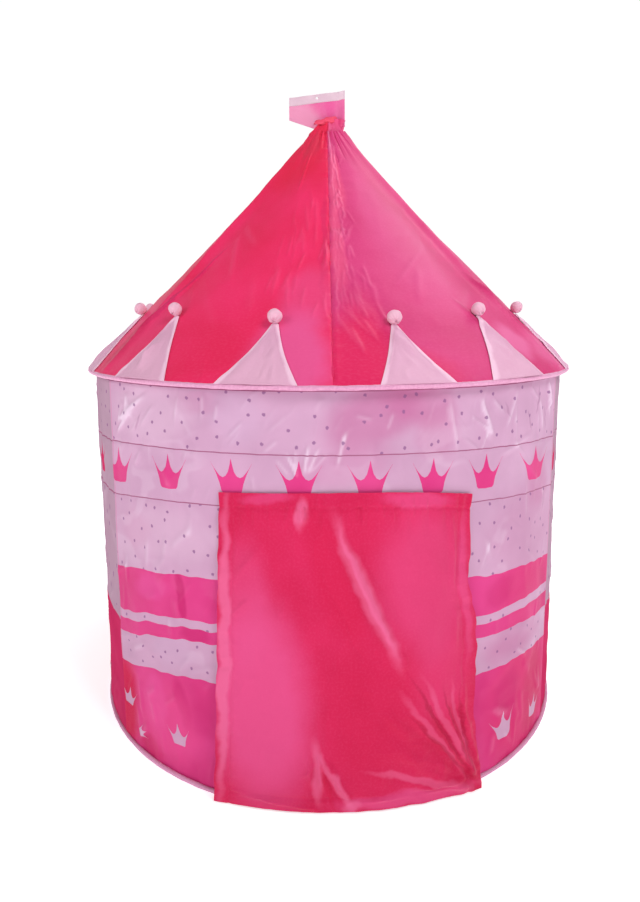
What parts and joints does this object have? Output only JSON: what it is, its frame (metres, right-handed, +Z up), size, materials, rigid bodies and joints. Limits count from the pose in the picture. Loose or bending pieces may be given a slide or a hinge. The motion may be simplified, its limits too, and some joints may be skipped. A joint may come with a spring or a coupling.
{
  "type": "play tent",
  "caption": "Round castle play tent with a cone roof, turret flags at the eave, printed pink walls and a hanging door flap.",
  "frame": {"origin": "on the floor, at the middle of the base hoop", "axes": "+Z up, the door towards -Y, +X to the right for someone who faces the door"},
  "size_m": [1.0478, 1.0478, 1.3024],
  "materials": {
    "spring_steel": "drawn spring steel wire",
    "binding_tape": "folded pink binding tape",
    "printed_pink": "printed polyester taffeta, pale and hot pink",
    "hot_pink_satin": "hot pink satin polyester",
    "flag_cloth": "pale pink polyester with bound edges",
    "white_tube": "extruded white plastic tube",
    "white_moulding": "moulded white plastic",
    "grey_rubber": "moulded grey rubber",
    "milky_strip": "milky plastic strip"
  },
  "bodies": {
    "tent": {"base_hoop": "spring_steel", "eave_hoop": "spring_steel", "base_hoop_ferrule": "spring_steel", "eave_hoop_ferrule": "spring_steel", "base_sleeve": "binding_tape", "eave_sleeve": "binding_tape", "wall_front_left": "printed_pink", "wall_front_right": "printed_pink", "wall_over_door": "printed_pink", "wall_left": "printed_pink", "wall_right": "printed_pink", "wall_back": "printed_pink", "pole_pocket_front_left": "printed_pink", "pole_pocket_front_right": "printed_pink", "pole_pocket_back_left": "printed_pink", "pole_pocket_back_right": "printed_pink", "pole_tie_front_left": "printed_pink", "pole_tie_front_right": "printed_pink", "pole_tie_back_left": "printed_pink", "pole_tie_back_right": "printed_pink", "roof_gore_front_left": "hot_pink_satin", "roof_gore_front_right": "hot_pink_satin", "roof_gore_back_left": "hot_pink_satin", "roof_gore_back_right": "hot_pink_satin", "roof_gather": "hot_pink_satin", "turret_flag_01": "flag_cloth", "turret_flag_02": "flag_cloth", "turret_flag_03": "flag_cloth", "turret_flag_04": "flag_cloth", "turret_flag_05": "flag_cloth", "turret_flag_06": "flag_cloth", "turret_flag_07": "flag_cloth", "turret_flag_08": "flag_cloth", "turret_flag_09": "flag_cloth", "turret_flag_10": "flag_cloth", "turret_flag_11": "flag_cloth", "turret_flag_12": "flag_cloth", "turret_flag_13": "flag_cloth", "wall_pole_front_left": "white_tube", "wall_pole_front_right": "white_tube", "wall_pole_back_left": "white_tube", "wall_pole_back_right": "white_tube", "roof_pole_front_left": "white_tube", "roof_pole_front_right": "white_tube", "roof_pole_back_left": "white_tube", "roof_pole_back_right": "white_tube", "eave_elbow_front_left": "white_moulding", "eave_elbow_front_right": "white_moulding", "eave_elbow_back_left": "white_moulding", "eave_elbow_back_right": "white_moulding", "apex_hub": "white_moulding", "pole_cap_front_left": "grey_rubber", "pole_cap_front_right": "grey_rubber", "pole_cap_back_left": "grey_rubber", "pole_cap_back_right": "grey_rubber"},
    "door_upper": {"door_flap_upper": "hot_pink_satin"},
    "door_lower": {"door_flap_lower": "hot_pink_satin"},
    "tab": {"hanging_tab": "hot_pink_satin", "tab_strip": "milky_strip"}
  },
  "joints": [
    {"name": "door_lift", "type": "hinge", "parent": "tent", "child": "door_upper", "pos_m": [0, -0.50586, 0.566], "axis": [-1, 0, 0], "range_deg": [0, 95]},
    {"name": "door_fold", "type": "hinge", "parent": "door_upper", "child": "door_lower", "pos_m": [0, -0.51508, 0.29], "axis": [-1, 0, 0], "range_deg": [0, 150]},
    {"name": "tab_flop", "type": "hinge", "parent": "tent", "child": "tab", "pos_m": [0, 0, 1.2301], "axis": [1, 0, 0], "range_deg": [-80, 80]}
  ]
}
